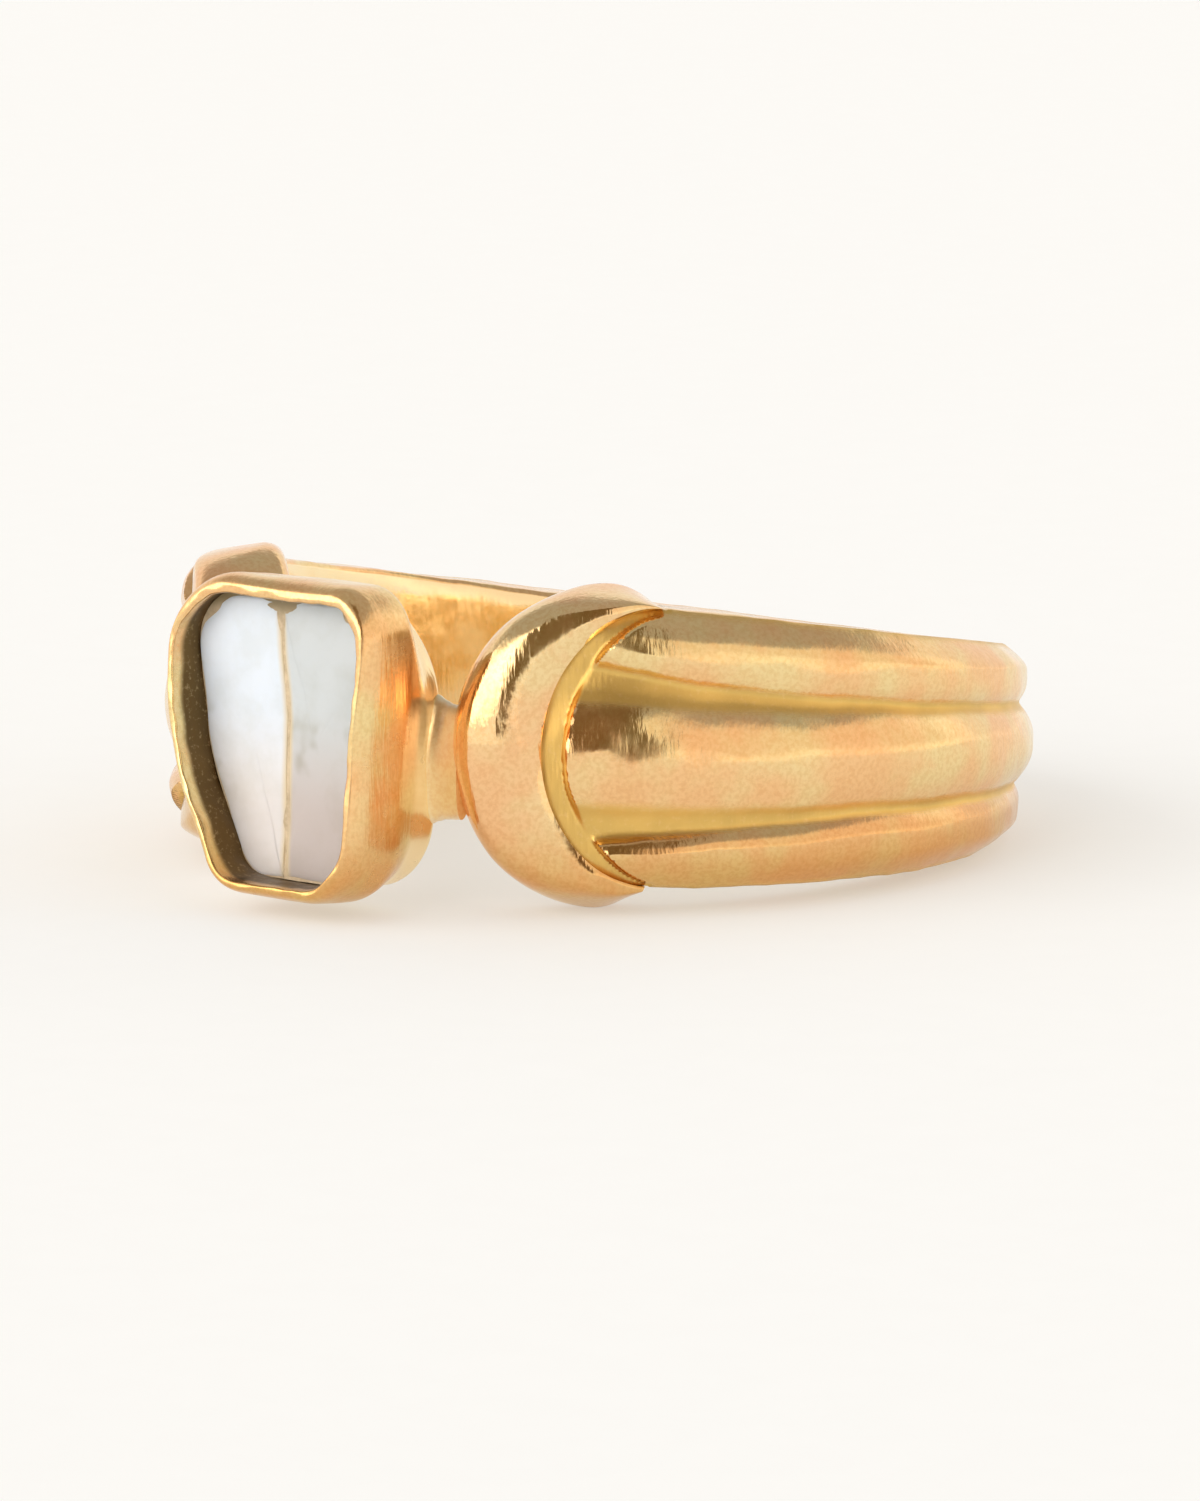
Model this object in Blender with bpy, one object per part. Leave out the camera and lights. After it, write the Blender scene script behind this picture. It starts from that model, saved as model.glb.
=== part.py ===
"""A milk tooth ring: a gold band with three ridges, two crescent collars and a cup set with tooth slabs.

The ring lies on its side on the ground plane z = 0, with its cup facing -Y and its bore close to upright.
Each piece is modelled in the ring's own directions, in millimetres: ahead is the distance from the bore's
axis toward the cup, aside is the distance across toward +X, and along is the distance along the bore.
An empty then gives them all the lean that the ring takes when it lies down.
"""

import math

import bmesh
import bpy
from mathutils import Matrix, Vector

MM = 0.001
GAP = 0.3

# Band
BORE_RADIUS = 8.4
BAND_THICKNESS = 2.4
SIDE_RIDGE_DROP = 0.3
BAND_EDGE_DROP = 0.76
BAND_HALF_HEIGHT_BACK = 2.02
BAND_HALF_HEIGHT_HEAD = 3.53
TAPER_POWER = 0.85
MIDDLE_RIDGE_HALF = 0.95
SIDE_RIDGE_WIDTH = 1.25
RIDGE_SHRINK_POWER = 0.3
RIDGES_FILL = 0.95
GROOVE_DEPTH_BACK = 0.4
GROOVE_DEPTH_HEAD = 0.62
BORE_EDGE_CHAMFER = 0.15
BAND_END_SHARE = 0.18
BAND_END_SHRINK = 0.84
RIDGE_START_ANGLE = 1.0
RIDGE_FADE_ANGLE = 5.5
COVERED_SHARE = 0.35
BAND_END_STEPS = 20
BAND_END_STEP_ANGLE = 1.3
BAND_BACK_STEPS = 54

# Cup: corners of its outlines as (aside, along, corner radius), anticlockwise seen from in front,
# in shares of CUP_HALF_WIDTH, CUP_HALF_HEIGHT and CUP_HALF_WIDTH
CUP_HALF_WIDTH = 3.3
CUP_HALF_HEIGHT = 3.8
CUP_DEPTH = 3.13
CUP_STANDOFF = 1.0
CUP_FRONT = ((0.955, 0.9, 0.38), (-1.06, 0.895, 0.576), (-0.94, -0.237, 1.82), (-0.388, -1.105, 0.41),
             (0.903, -1.105, 0.47))
CUP_BACK = ((0.894, 0.855, 0.97), (-0.97, 0.855, 0.788), (-0.864, -0.237, 1.515), (-0.394, -1.013, 0.455),
            (0.879, -1.013, 0.485))
CORNER_STEPS = 6
CREASE_SHARE = 0.466
CUP_FLOOR = 0.5
CUP_WALL = 0.45
RIM_WIDTH = 0.4
RIM_ROUNDING = 0.2
BACK_ROUNDING = 0.12

# Collars, measured round the band from the cup's middle line
COLLAR_CLEARANCE = 0.2
LAYOUT_SHARE = 0.79
COLLAR_NOSE_WIDTH = 2.3
COLLAR_OUTER_AHEAD_HALF = 3.7
COLLAR_OUTER_BEHIND_HALF = 2.7
COLLAR_OUTER_END = 116.0
COLLAR_INNER_AHEAD_HALF = 2.8
COLLAR_INNER_END = 88.0
COLLAR_RISE = 0.23
COLLAR_DROP = 0.47
COLLAR_TIP_SET_IN = 0.23
COLLAR_FOOT_LIFT = 0.12
COLLAR_LIP_OVERHANG = 0.22
COLLAR_TOP_EDGE_OVERHANG = 0.05
COLLAR_NOSE_EDGE_LIFT = 1.3
COLLAR_INNER_EDGE_LIFT = 1.45
COLLAR_BULGE_NOSE = 1.2
COLLAR_BULGE_TIP = 0.2
COLLAR_TOP_FALL = 0.5
COLLAR_STEPS = 28
COLLAR_ARC_STEPS = 10

# Necks that join the cup to the collars: (place along the neck, half depth, half height), in shares
NECK_REACH_IN = 0.9
NECK_REACH_OUT = 0.32
NECK_HALF_DEPTH = 0.4
NECK_HALF_HEIGHT = 1.38
NECK_SET_IN = 0.22
NECK_BELOW_MIDDLE = 0.7
NECK_STATIONS = ((0.0, 1.25, 1.23), (0.35, 1.12, 1.09), (0.58, 0.95, 1.0), (0.77, 1.0, 1.0), (1.0, 1.0, 0.94))
NECK_SIDES = 16

# What the cup holds; the seam between the slabs in shares of the cup's half width and half height
CEMENT_THICKNESS = 0.3
SLAB_THICKNESS = 0.55
SLAB_TOP_LIFT = 0.45
SLAB_EDGE_ROUNDING = 0.15
SEAM_TOP = (-0.08, 0.82)
SEAM_BOTTOM = (0.04, -1.05)

WORN_FLAT = 0.04
CUTTER_MARGIN = 4.0

BAND_RADIUS = BORE_RADIUS + BAND_THICKNESS
LAYOUT_RADIUS = BORE_RADIUS + LAYOUT_SHARE * BAND_THICKNESS
CUP_BACK_AHEAD = BORE_RADIUS + CUP_STANDOFF
CREASE_AHEAD = CUP_BACK_AHEAD + CREASE_SHARE * CUP_DEPTH
RIM_AHEAD = CUP_BACK_AHEAD + CUP_DEPTH
CUP_FLOOR_AHEAD = CUP_BACK_AHEAD + CUP_FLOOR
COLLAR_NOSE = CUP_HALF_WIDTH + COLLAR_CLEARANCE
COLLAR_INNER_NOSE = COLLAR_NOSE + COLLAR_NOSE_WIDTH
COLLAR_OUTER_CENTRE = COLLAR_NOSE + COLLAR_OUTER_AHEAD_HALF
COLLAR_INNER_CENTRE = COLLAR_INNER_NOSE + COLLAR_INNER_AHEAD_HALF
COLLAR_UPPER_HEIGHT = BAND_HALF_HEIGHT_HEAD + COLLAR_RISE
COLLAR_LOWER_HEIGHT = BAND_HALF_HEIGHT_HEAD + COLLAR_DROP
COLLAR_INNER_HEIGHT_HALF = BAND_HALF_HEIGHT_HEAD - COLLAR_TIP_SET_IN
BAND_END_ANGLE = math.degrees((COLLAR_INNER_NOSE - BAND_END_SHARE * COLLAR_NOSE_WIDTH) / LAYOUT_RADIUS)
CEMENT_BACK = CUP_FLOOR_AHEAD + GAP
CEMENT_FRONT = CEMENT_BACK + CEMENT_THICKNESS
SLAB_BACK = CEMENT_FRONT + GAP
SLAB_FRONT = SLAB_BACK + SLAB_THICKNESS


def clear_scene():
    for found in list(bpy.data.objects):
        bpy.data.objects.remove(found, do_unlink=True)


def place(ahead, aside, along):
    """A point of the ring before it leans, in metres."""
    return Vector((aside, -ahead, along)) * MM


def place_round(angle, radius, along):
    """A point at an angle in degrees round the bore from the cup, toward +X."""
    turn = math.radians(angle)
    return place(radius * math.cos(turn), radius * math.sin(turn), along)


def principled(name, colour, roughness, metallic):
    material = bpy.data.materials.new(name)
    material.use_nodes = True
    shader = material.node_tree.nodes["Principled BSDF"]
    shader.inputs["Base Color"].default_value = (*colour, 1.0)
    shader.inputs["Roughness"].default_value = roughness
    shader.inputs["Metallic"].default_value = metallic
    return material


def add_mesh_object(name, mesh, collection, material=None):
    bmesh.ops.recalc_face_normals(mesh, faces=mesh.faces)
    data = bpy.data.meshes.new(name)
    mesh.to_mesh(data)
    mesh.free()
    data.shade_smooth()
    data.set_sharp_from_angle(angle=math.radians(35))
    if material:
        data.materials.append(material)
    made = bpy.data.objects.new(name, data)
    collection.objects.link(made)
    return made


def loft(rings):
    """A closed solid skinned over a run of rings that each have the same number of points."""
    mesh = bmesh.new()
    rows = [[mesh.verts.new(point) for point in ring] for ring in rings]
    for row, following in zip(rows, rows[1:]):
        for index in range(len(row)):
            after = (index + 1) % len(row)
            mesh.faces.new((row[index], row[after], following[after], following[index]))
    caps = [mesh.faces.new(rows[0]), mesh.faces.new(rows[-1])]
    bmesh.ops.triangulate(mesh, faces=caps)
    return mesh


def head_share(ahead):
    """0 at the back of the band and 1 at the cup's side of it."""
    return min(max((ahead / BAND_RADIUS + 1) / 2, 0.0), 1.0)


def band_half_height(share):
    return BAND_HALF_HEIGHT_BACK + (BAND_HALF_HEIGHT_HEAD - BAND_HALF_HEIGHT_BACK) * share ** TAPER_POWER


def ellipse_height(offset, half_width, half_height):
    return half_height * math.sqrt(max(1 - (offset / half_width) ** 2, 0.0))


def covered_half_height(angle):
    """How tall the band stands at an angle: beneath a collar its edge runs inside the collar's body."""
    round_band = math.radians(min(angle, 360 - angle)) * LAYOUT_RADIUS
    if round_band >= COLLAR_INNER_CENTRE:
        return BAND_HALF_HEIGHT_HEAD
    from_outer = COLLAR_OUTER_CENTRE - round_band
    from_inner = COLLAR_INNER_CENTRE - round_band
    outer_half = COLLAR_OUTER_AHEAD_HALF if from_outer > 0 else COLLAR_OUTER_BEHIND_HALF
    outer = ellipse_height(from_outer, outer_half, COLLAR_UPPER_HEIGHT)
    inner = ellipse_height(from_inner, COLLAR_INNER_AHEAD_HALF, COLLAR_INNER_HEIGHT_HALF)
    return inner + COVERED_SHARE * (outer - inner)


def ridge_fade(angle, along):
    """0 beside a collar's inner edge and 1 a little farther round the band."""
    inner = COLLAR_INNER_CENTRE - ellipse_height(along, COLLAR_INNER_HEIGHT_HALF, COLLAR_INNER_AHEAD_HALF)
    edge = math.degrees(inner / LAYOUT_RADIUS)
    from_collar = min(angle, 360 - angle) - edge - RIDGE_START_ANGLE
    share = min(max(from_collar / RIDGE_FADE_ANGLE, 0.0), 1.0)
    return share * share * (3 - 2 * share)


def band_section(angle, shrink_share=1.0):
    """The band's outline as (radius, along) pairs: up the bore, then down over the three ridges."""
    share = head_share(BAND_RADIUS * math.cos(math.radians(angle)))
    half = min(band_half_height(share), covered_half_height(angle)) * shrink_share
    fitting = RIDGES_FILL * half / (MIDDLE_RIDGE_HALF + SIDE_RIDGE_WIDTH)
    shrink = min((half / BAND_HALF_HEIGHT_HEAD) ** RIDGE_SHRINK_POWER, fitting)
    middle = MIDDLE_RIDGE_HALF * shrink
    side = SIDE_RIDGE_WIDTH * shrink
    depth = GROOVE_DEPTH_BACK + (GROOVE_DEPTH_HEAD - GROOVE_DEPTH_BACK) * share
    floor = BAND_RADIUS - depth
    edge = BAND_RADIUS - BAND_EDGE_DROP
    bulge = BAND_RADIUS - SIDE_RIDGE_DROP - (edge + floor) / 2
    side_ridge = []
    for step in range(7):
        turn = math.pi * step / 6
        across = (1 - math.cos(turn)) / 2
        along = half - side * across
        rise = bulge * math.sin(turn) * ridge_fade(angle, along)
        side_ridge.append((edge + (floor - edge) * across + rise, along))
    middle_ridge = []
    for step in range(9):
        turn = math.pi * step / 8
        along = middle * math.cos(turn)
        middle_ridge.append((floor + depth * math.sin(turn) * ridge_fade(angle, along), along))
    bore = [(BORE_RADIUS, BORE_EDGE_CHAMFER - half), (BORE_RADIUS, half - BORE_EDGE_CHAMFER)]
    edge_top = [(BORE_RADIUS + BORE_EDGE_CHAMFER, half)]
    lower = [(radius, -along) for radius, along in reversed(edge_top + side_ridge)]
    return bore + edge_top + side_ridge + middle_ridge + lower


def band_angles():
    """Where the band's sections stand: close together beside the collars, wider round the back."""
    near = [BAND_END_ANGLE + BAND_END_STEP_ANGLE * step for step in range(BAND_END_STEPS)]
    start = BAND_END_ANGLE + BAND_END_STEP_ANGLE * BAND_END_STEPS
    back = [start + (360 - 2 * start) * step / BAND_BACK_STEPS for step in range(BAND_BACK_STEPS + 1)]
    return near + back + [360 - angle for angle in reversed(near)]


def band_mesh():
    """The band runs from inside one collar round the back to inside the other, with lower hidden ends."""
    rings = []
    for angle in band_angles():
        hidden = min(angle, 360 - angle) <= BAND_END_ANGLE
        section = band_section(angle, BAND_END_SHRINK if hidden else 1.0)
        rings.append([place_round(angle, radius, along) for radius, along in section])
    return loft(rings)


def collar_edges(turn_share):
    """The crescent's outer and inner edge as (round the band, along the bore) at one share of its run."""
    outer_turn = math.radians(COLLAR_OUTER_END * turn_share)
    inner_turn = math.radians(COLLAR_INNER_END * turn_share)
    outer_half = COLLAR_OUTER_AHEAD_HALF if math.cos(outer_turn) > 0 else COLLAR_OUTER_BEHIND_HALF
    outer_height = COLLAR_UPPER_HEIGHT if outer_turn > 0 else COLLAR_LOWER_HEIGHT
    outer = Vector((COLLAR_OUTER_CENTRE - outer_half * math.cos(outer_turn),
                    outer_height * math.sin(outer_turn)))
    inner = Vector((COLLAR_INNER_CENTRE - COLLAR_INNER_AHEAD_HALF * math.cos(inner_turn),
                    COLLAR_INNER_HEIGHT_HALF * math.sin(inner_turn)))
    return outer, inner


def collar_ring(turn_share, side):
    """One section of a crescent collar: a round back between its edges, over a foot that has a thin lip."""
    outer, inner = collar_edges(turn_share)
    lean_in = math.sin(math.radians(COLLAR_OUTER_END) * abs(turn_share)) ** 2
    outer_lift = COLLAR_NOSE_EDGE_LIFT - (COLLAR_NOSE_EDGE_LIFT + COLLAR_TOP_EDGE_OVERHANG) * lean_in
    bulge = COLLAR_BULGE_NOSE + (COLLAR_BULGE_TIP - COLLAR_BULGE_NOSE) * turn_share ** 2
    lip_lift = COLLAR_FOOT_LIFT - (COLLAR_FOOT_LIFT + COLLAR_LIP_OVERHANG) * lean_in
    profile = [(outer, BORE_RADIUS + lip_lift)]
    for step in range(COLLAR_ARC_STEPS + 1):
        turn = math.pi * step / COLLAR_ARC_STEPS
        across = (1 - math.cos(turn)) / 2
        lift = outer_lift + (COLLAR_INNER_EDGE_LIFT - outer_lift) * across + bulge * math.sin(turn)
        profile.append((outer.lerp(inner, across ** COLLAR_TOP_FALL), BORE_RADIUS + lift))
    profile.append((inner, BORE_RADIUS + COLLAR_FOOT_LIFT))
    turned = [(side * math.degrees(spot.x / LAYOUT_RADIUS), radius, spot.y) for spot, radius in profile]
    return [place_round(angle, radius, along) for angle, radius, along in turned]


def collar_mesh(side):
    """A fat crescent roll laid over the band's end, thick at its middle and thin at its two tips."""
    return loft([collar_ring(2 * step / COLLAR_STEPS - 1, side) for step in range(COLLAR_STEPS + 1)])


def rounded_outline(corners, inset=0.0):
    """Points round an outline whose corners are arcs, moved in by inset."""
    outline = []
    spots = [Vector((aside * CUP_HALF_WIDTH, along * CUP_HALF_HEIGHT)) for aside, along, _ in corners]
    for index, corner in enumerate(spots):
        radius = corners[index][2] * CUP_HALF_WIDTH
        before = (spots[index - 1] - corner).normalized()
        after = (spots[(index + 1) % len(spots)] - corner).normalized()
        half_angle = before.angle(after) / 2
        centre = corner + (before + after).normalized() * radius / math.sin(half_angle)
        start = math.atan2(before.x, -before.y)
        sweep = math.pi - 2 * half_angle
        for step in range(CORNER_STEPS + 1):
            turn = start + sweep * step / CORNER_STEPS
            outline.append(centre + Vector((math.cos(turn), math.sin(turn))) * (radius - inset))
    return outline


def blend(first, second, share):
    return [a.lerp(b, share) for a, b in zip(first, second)]


def at_depth(outline, ahead):
    return [place(ahead, spot.x, spot.y) for spot in outline]


def hollow_outline(ahead, inset=0.0):
    """The cup's hollow at one depth: it narrows to an oval below the crease, as the wall outside does."""
    share = min((ahead - CUP_FLOOR_AHEAD) / (CREASE_AHEAD - CUP_FLOOR_AHEAD), 1.0)
    floor = rounded_outline(CUP_BACK, CUP_WALL + inset)
    return blend(floor, rounded_outline(CUP_FRONT, RIM_WIDTH + inset), share)


def cup_mesh():
    """The cup's solid body: an oval back that opens to a rounded keystone, with a rolled-in rim."""
    front = rounded_outline(CUP_FRONT)
    back = rounded_outline(CUP_BACK)
    mouth = rounded_outline(CUP_FRONT, RIM_WIDTH)
    waist = blend(back, rounded_outline(CUP_FRONT, BACK_ROUNDING), 0.75)
    shoulder = RIM_AHEAD - 2 * RIM_ROUNDING
    rings = [
        at_depth(rounded_outline(CUP_BACK, BACK_ROUNDING), CUP_BACK_AHEAD),
        at_depth(back, CUP_BACK_AHEAD + BACK_ROUNDING),
        at_depth(blend(back, front, 0.25), (CUP_BACK_AHEAD * 2 + CREASE_AHEAD) / 3),
        at_depth(waist, CREASE_AHEAD - RIM_ROUNDING),
        at_depth(blend(back, front, 0.9), CREASE_AHEAD + RIM_ROUNDING),
        at_depth(front, shoulder),
        at_depth(blend(front, mouth, 0.12), shoulder + RIM_ROUNDING),
        at_depth(blend(front, mouth, 0.45), RIM_AHEAD),
        at_depth(blend(front, mouth, 0.9), RIM_AHEAD),
    ]
    return loft(rings)


def neck_mesh(side):
    """A short waisted bridge of solder between the cup's side and the collar."""
    rings = []
    start = CUP_HALF_WIDTH - NECK_REACH_IN
    run = COLLAR_NOSE + NECK_REACH_OUT - start
    for along_neck, depth_share, height_share in NECK_STATIONS:
        ring = []
        for step in range(NECK_SIDES):
            turn = 2 * math.pi * step / NECK_SIDES
            ahead = CUP_BACK_AHEAD + NECK_SET_IN + depth_share * NECK_HALF_DEPTH * math.cos(turn)
            along = height_share * NECK_HALF_HEIGHT * math.sin(turn) - NECK_BELOW_MIDDLE
            ring.append(place(ahead, side * (start + run * along_neck), along))
        rings.append(ring)
    return loft(rings)


def slab_mesh():
    """Both slabs before they are parted: a flat back and a face that lies a little higher at its top."""
    outline = rounded_outline(CUP_FRONT, RIM_WIDTH + GAP)
    face = rounded_outline(CUP_FRONT, RIM_WIDTH + GAP + SLAB_EDGE_ROUNDING)
    top = max(spot.y for spot in outline)
    rings = [at_depth(outline, SLAB_BACK)]
    for spots, below in ((outline, SLAB_EDGE_ROUNDING), (face, 0.0)):
        ring = []
        for spot in spots:
            lift = SLAB_TOP_LIFT * max(spot.y, 0.0) / top
            ring.append(place(SLAB_FRONT + lift - below, spot.x, spot.y))
        rings.append(ring)
    return loft(rings)


def keep_side_of_seam(mesh, side):
    """Cut the slabs half a gap away from the seam's line and close the cut."""
    top = Vector((SEAM_TOP[0] * CUP_HALF_WIDTH, 0.0, SEAM_TOP[1] * CUP_HALF_HEIGHT))
    bottom = Vector((SEAM_BOTTOM[0] * CUP_HALF_WIDTH, 0.0, SEAM_BOTTOM[1] * CUP_HALF_HEIGHT))
    run = bottom - top
    normal = Vector((-run.z, 0.0, run.x)).normalized() * side
    geometry = mesh.verts[:] + mesh.edges[:] + mesh.faces[:]
    cut = bmesh.ops.bisect_plane(mesh, geom=geometry, dist=1e-7, plane_co=(top + normal * GAP / 2) * MM,
                                 plane_no=normal, clear_inner=True)
    edges = [item for item in cut["geom_cut"] if isinstance(item, bmesh.types.BMEdge)]
    bmesh.ops.edgenet_fill(mesh, edges=edges)
    bmesh.ops.triangulate(mesh, faces=[face for face in mesh.faces if len(face.verts) > 4])


def lowest_level(points, lean):
    return min(-point.y * math.sin(lean) + point.z * math.cos(lean) for point in points)


def resting_lean(front_points, back_points):
    """The lean at which the collars and the back of the band touch one level."""
    low = 0.0
    high = math.radians(20)
    for _ in range(40):
        lean = (low + high) / 2
        if lowest_level(front_points, lean) < lowest_level(back_points, lean):
            low = lean
        else:
            high = lean
    return lean


def join_by_boolean(base, others, operation):
    for other in others:
        modifier = base.modifiers.new(f"{operation.lower()} {other.name}", "BOOLEAN")
        modifier.operation = operation
        modifier.solver = "MANIFOLD"
        modifier.object = other


def add_ground_cutter(collection, level):
    """A block whose top is a little above the ring's lowest points, to leave small worn flats on them."""
    half = (BAND_RADIUS + CUTTER_MARGIN) * MM
    depth = CUTTER_MARGIN * MM
    bpy.ops.mesh.primitive_cube_add(size=1, location=(0, 0, level - depth / 2))
    cutter = bpy.context.object
    cutter.name = "cut_ground"
    cutter.scale = (2 * half, 2 * half, depth)
    bpy.ops.object.transform_apply(location=False, rotation=False, scale=True)
    for holder in list(cutter.users_collection):
        holder.objects.unlink(cutter)
    collection.objects.link(cutter)
    return cutter


def hide_helper(helper):
    helper.hide_render = True
    helper.display_type = "WIRE"


def main():
    clear_scene()
    parts = bpy.data.collections.new("milk_tooth_ring")
    cutters = bpy.data.collections.new("cutters")
    for collection in (parts, cutters):
        bpy.context.scene.collection.children.link(collection)

    gold = principled("gold", (0.80, 0.52, 0.24), 0.22, 1.0)
    enamel = principled("tooth_enamel", (0.80, 0.80, 0.78), 0.30, 0.0)
    dentine = principled("tooth_dentine", (0.78, 0.75, 0.72), 0.35, 0.0)
    cement = principled("setting_cement", (0.62, 0.50, 0.28), 0.6, 0.0)

    band = add_mesh_object("gold_ring", band_mesh(), parts, gold)
    collars = [add_mesh_object(f"collar_{name}", collar_mesh(side), cutters)
               for name, side in (("right", 1), ("left", -1))]
    necks = [add_mesh_object(f"neck_{name}", neck_mesh(side), cutters)
             for name, side in (("right", 1), ("left", -1))]
    cup = add_mesh_object("cup", cup_mesh(), cutters)
    hollow_rings = [at_depth(hollow_outline(ahead), ahead)
                    for ahead in (CUP_FLOOR_AHEAD, CREASE_AHEAD, RIM_AHEAD + CUTTER_MARGIN)]
    hollow = add_mesh_object("cut_cup_hollow", loft(hollow_rings), cutters)

    cement_rings = [at_depth(hollow_outline(ahead, GAP), ahead) for ahead in (CEMENT_BACK, CEMENT_FRONT)]
    held = [add_mesh_object("cement_bed", loft(cement_rings), parts, cement)]
    for name, side, material in (("tooth_left", -1, enamel), ("tooth_right", 1, dentine)):
        slab = slab_mesh()
        keep_side_of_seam(slab, side)
        held.append(add_mesh_object(name, slab, parts, material))

    front_points = [vertex.co for piece in collars + [cup] for vertex in piece.data.vertices]
    back_points = [vertex.co for vertex in band.data.vertices if vertex.co.y > 0]
    lean = resting_lean(front_points, back_points)
    lowest = lowest_level(front_points, lean)
    worn_level = lowest + WORN_FLAT * MM
    turned = Matrix.Rotation(-lean, 4, "X")
    reach = [(turned @ vertex.co).y for piece in (band, cup) for vertex in piece.data.vertices]

    pose = bpy.data.objects.new("ring_pose", None)
    pose.rotation_euler = (-lean, 0, 0)
    pose.location = (0, -(min(reach) + max(reach)) / 2, -worn_level)
    parts.objects.link(pose)
    for piece in [band, cup, hollow] + collars + necks + held:
        piece.parent = pose
    ground = add_ground_cutter(cutters, 0.0)
    for helper in [cup, hollow, ground] + collars + necks:
        hide_helper(helper)

    join_by_boolean(band, collars + [cup] + necks, "UNION")
    join_by_boolean(band, [hollow, ground], "DIFFERENCE")


main()
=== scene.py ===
"""The milk tooth ring as it looks: worn gold, two tooth slabs in ochre cement, and a pale studio floor.

The ring lies on its side. Its pieces are laid out in its own directions, in millimetres: ahead is the
distance from the bore's axis toward the cup, aside is the distance across toward +X, and along is the
distance along the bore. RING_PLACE and RING_LEAN then lay it on the floor where the solid model lies.
"""

import math

import bpy
from mathutils import Matrix, Vector, noise


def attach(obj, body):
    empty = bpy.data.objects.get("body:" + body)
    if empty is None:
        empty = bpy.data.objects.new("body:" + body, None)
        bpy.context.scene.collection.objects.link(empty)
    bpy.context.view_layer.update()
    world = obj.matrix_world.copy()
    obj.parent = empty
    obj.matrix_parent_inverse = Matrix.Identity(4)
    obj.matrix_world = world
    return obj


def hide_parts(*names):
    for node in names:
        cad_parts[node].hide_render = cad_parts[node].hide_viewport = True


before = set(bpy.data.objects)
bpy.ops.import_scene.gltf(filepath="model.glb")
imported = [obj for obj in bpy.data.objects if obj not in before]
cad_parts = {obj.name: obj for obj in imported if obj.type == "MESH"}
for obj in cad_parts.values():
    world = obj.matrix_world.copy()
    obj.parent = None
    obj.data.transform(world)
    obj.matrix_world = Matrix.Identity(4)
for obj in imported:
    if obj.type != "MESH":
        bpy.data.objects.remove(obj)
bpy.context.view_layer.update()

bl_info = {
    "name": "Milk Tooth Ring",
    "version": (1, 0, 0),
    "blender": (4, 5, 0),
    "location": "3D View > Sidebar > Milk Tooth Ring",
    "description": "Models the visible surfaces of a gold ring set with two tooth slabs",
    "category": "Object",
}

MM = 0.001

# How the ring lies on the floor
RING_LEAN = math.radians(6.9139)
RING_PLACE = Vector((0.0, 1.0972, 3.1799)) * MM
RING_POSE = Matrix.Translation(RING_PLACE) @ Matrix.Rotation(-RING_LEAN, 4, "X")

# Seed of the uneven edges; without one they would differ from run to run
NOISE_SEED = 1795822790

# Cup: outline corners as (aside, along, corner radius), in shares of the cup's half width and half height;
# the radius is a share of the half width
CUP_FRONT = ((0.955, 0.9, 0.38), (-1.06, 0.895, 0.576), (-0.94, -0.237, 1.82), (-0.388, -1.105, 0.41),
             (0.903, -1.105, 0.47))
CUP_BACK = ((0.894, 0.855, 0.97), (-0.97, 0.855, 0.788), (-0.864, -0.237, 1.515), (-0.394, -1.013, 0.455),
            (0.879, -1.013, 0.485))
# Cup: millimetres, but the crease as a share of the depth; then its first rows of points, which are pale
CUP_FROM_BORE, CUP_FLOOR, CUP_CREASE_SHARE = 1.0, 0.5, 0.466
CUP_SHOULDER, CUP_BACK_ROUNDING, CUP_FLANK_PAST_CREASE = 0.7, 0.1, 0.12
CUP_MOUTH_FROM, CUP_MOUTH_RUN = 1.6, 1.2
PALE_ROWS, PALE_FADE = 22, 14

# Points on each round corner and each straight side of an outline
CORNER_STEPS, SIDE_STEPS = 20, 24

# Solder necks: where they start, how far they run and how low they lie, half depth and half height
NECK_INSIDE_CUP, NECK_RUN, NECK_LOWERED = 0.9, 1.4, 0.7
NECK_HALF_DEPTH, NECK_HALF_HEIGHT = 0.34, 1.38
# Their sections from the cup to the collar as (share of the way, share of the depth, share of the height)
NECK_STATIONS = ((0.0, 1.2, 1.2), (0.3, 1.12, 1.13), (0.5, 1.03, 1.05), (0.66, 0.97, 1.0), (0.82, 0.95, 0.98),
                 (1.0, 1.0, 0.96))

# Ridges and grooves: shares of the band's or a ridge's height, and millimetres
MIDDLE_RIDGE_SHARE = 0.395
GROOVE_AT_BACK, GROOVE_SPREAD, GROOVE_POWER = 0.1, 0.62, 3.6
MIDDLE_RIDGE_SHIFT = -0.2
SIDE_CREST = 0.34
COVE_HEIGHT, COVE_RUN = 0.24, 0.3
EDGE_START, EDGE_DROP, EDGE_ROLL = 0.76, 0.76, 0.14
BORE_SWELL, BORE_ROUNDING = 0.03, 0.15
SKIN_STEPS = 110
# In degrees: where the ridges rise beside a collar, and where the grooves narrow toward the back
RIDGE_START, RIDGE_RISE = 2.7, 0.9
GROOVE_START, GROOVE_RUN = 38, 92

# Crescent collars: where they lie round the band, and half lengths of their two ellipses, in millimetres;
# then how far the ellipses run to the tips, in degrees, and lifts above the bore and roundings
COLLAR_FROM_CUP = 0.2
CRESCENT_WIDTH = 2.3
COLLAR_FRONT_HALF, COLLAR_BACK_HALF, CREASE_HALF = 3.7, 2.7, 2.8
COLLAR_TURN, CREASE_TURN = 116.0, 88.0
COLLAR_LIP = 0.45
BROW_LIFT, CREASE_LIFT, TIP_DROP = 1.3, 2.06, 0.26
COLLAR_BOW, COLLAR_ROLL = 0.16, 0.12
# The left collar's upper shoulder is lower than the right one's
LEFT_SHOULDER_DROP = 0.3
COLLAR_ARC_STEPS = 22
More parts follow.
